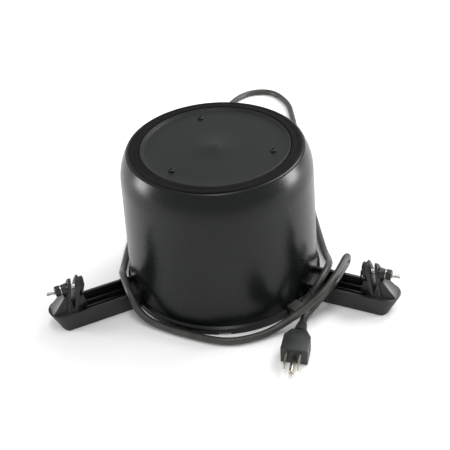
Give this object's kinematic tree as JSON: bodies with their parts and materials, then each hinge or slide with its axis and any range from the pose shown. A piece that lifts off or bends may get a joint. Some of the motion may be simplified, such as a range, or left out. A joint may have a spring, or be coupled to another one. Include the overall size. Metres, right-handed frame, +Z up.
{
  "type": "wave maker pump",
  "caption": "Bell-shaped floating wave maker pump standing on its rim, with forked float arms, a motor and propeller inside, and a mains cord with a moulded plug.",
  "frame": {"origin": "where the housing's vertical axis meets the plane of its rim, which is also the plane of the arms' soles", "axes": "+Z up along the housing's axis and the propeller shaft, from the open mouth to the closed top; +Y from the axis along the rear arm; -Y looks to the side between the two front arms, where the cord and plug lie; +X towards the right arm"},
  "size_m": [0.3414, 0.545, 0.1516],
  "materials": {
    "housing_plastic": "semi-gloss injection-moulded ABS, black",
    "cover_plastic": "semi-gloss ABS, black with a faint blue-green cast",
    "arm_plastic": "semi-gloss moulded nylon, black",
    "foot_rubber": "moulded EPDM, black",
    "gasket_rubber": "nitrile rubber, matt black",
    "stainless": "A2 stainless steel, machined",
    "can_aluminium": "drawn aluminium, satin",
    "bearing_bronze": "sintered bronze",
    "electrical_steel": "laminated electrical steel",
    "copper_winding": "enamelled copper wire",
    "propeller_plastic": "glass-filled nylon, black",
    "guard_plastic": "moulded polypropylene, black",
    "block_plastic": "moulded nylon, natural",
    "capacitor_case": "moulded polypropylene, light grey",
    "cord_rubber": "chloroprene rubber sheath, satin dark grey",
    "plug_plastic": "moulded PVC, satin black",
    "plug_brass": "nickel-plated brass"
  },
  "bodies": {
    "pump_body": {"arm_pegs_right": "stainless", "arm_screws_left": "stainless", "arm_screws_rear": "stainless", "arm_screws_right": "stainless", "clamp_bolt_left": "stainless", "clamp_bolt_rear": "stainless", "clamp_bolt_right": "stainless", "cord_entry": "cord_rubber", "cover_gasket": "gasket_rubber", "cover_screws": "stainless", "end_cover_gasket": "gasket_rubber", "end_cover_screws": "stainless", "float_arm_left": "arm_plastic", "float_arm_rear": "arm_plastic", "float_arm_right": "arm_plastic", "foot_ring": "foot_rubber", "guard_screws": "stainless", "housing": "housing_plastic", "inlet_guard": "guard_plastic", "inner_lead": "cord_rubber", "lead_clips": "block_plastic", "lower_bearing": "bearing_bronze", "motor_can": "can_aluminium", "motor_end_cover": "housing_plastic", "motor_screws": "stainless", "plug_blades": "plug_brass", "plug_body": "plug_plastic", "plug_boot": "cord_rubber", "plug_earth_pin": "plug_brass", "power_cord": "cord_rubber", "run_capacitor": "capacitor_case", "shaft_seal": "gasket_rubber", "stator_core": "electrical_steel", "stator_windings": "copper_winding", "terminal_block": "block_plastic", "top_cover": "cover_plastic", "upper_bearing": "bearing_bronze"},
    "rotor_and_propeller": {"shaft": "stainless", "rotor": "electrical_steel", "propeller": "propeller_plastic", "propeller_washer": "stainless", "propeller_nut": "stainless"},
    "clamp_washer_right": {"clamp_washer_right": "stainless"},
    "clamp_nut_right": {"clamp_nut_right": "stainless"},
    "clamp_washer_rear": {"clamp_washer_rear": "stainless"},
    "clamp_nut_rear": {"clamp_nut_rear": "stainless"},
    "clamp_washer_left": {"clamp_washer_left": "stainless"},
    "clamp_nut_left": {"clamp_nut_left": "stainless"}
  },
  "joints": [
    {"name": "rotor_spin", "type": "hinge", "parent": "pump_body", "child": "rotor_and_propeller", "pos_m": [0, 0, 0.06], "axis": [0, 0, 1], "continuous": true},
    {"name": "clamp_travel_right", "type": "slide", "parent": "pump_body", "child": "clamp_washer_right", "axis": [0.9121, -0.4099, 0], "range_m": [0, 0.006]},
    {"name": "clamp_nut_turn_right", "type": "hinge", "parent": "clamp_washer_right", "child": "clamp_nut_right", "pos_m": [0.15688, -0.07051, 0.04], "axis": [0.9121, -0.4099, 0], "range_deg": [0, 2745]},
    {"name": "clamp_travel_rear", "type": "slide", "parent": "pump_body", "child": "clamp_washer_rear", "axis": [0, 1, 0], "range_m": [0, 0.006]},
    {"name": "clamp_nut_turn_rear", "type": "hinge", "parent": "clamp_washer_rear", "child": "clamp_nut_rear", "pos_m": [0, 0.172, 0.04], "axis": [0, 1, 0], "range_deg": [0, 2745]},
    {"name": "clamp_travel_left", "type": "slide", "parent": "pump_body", "child": "clamp_washer_left", "axis": [-0.9121, -0.4099, 0], "range_m": [0, 0.006]},
    {"name": "clamp_nut_turn_left", "type": "hinge", "parent": "clamp_washer_left", "child": "clamp_nut_left", "pos_m": [-0.15688, -0.07051, 0.04], "axis": [-0.9121, -0.4099, 0], "range_deg": [0, 2745]}
  ],
  "couplings": [
    {"joint": "clamp_nut_turn_right", "follows": "clamp_travel_right", "rad_per_m": 7854},
    {"joint": "clamp_nut_turn_rear", "follows": "clamp_travel_rear", "rad_per_m": 7854},
    {"joint": "clamp_nut_turn_left", "follows": "clamp_travel_left", "rad_per_m": 7854}
  ]
}
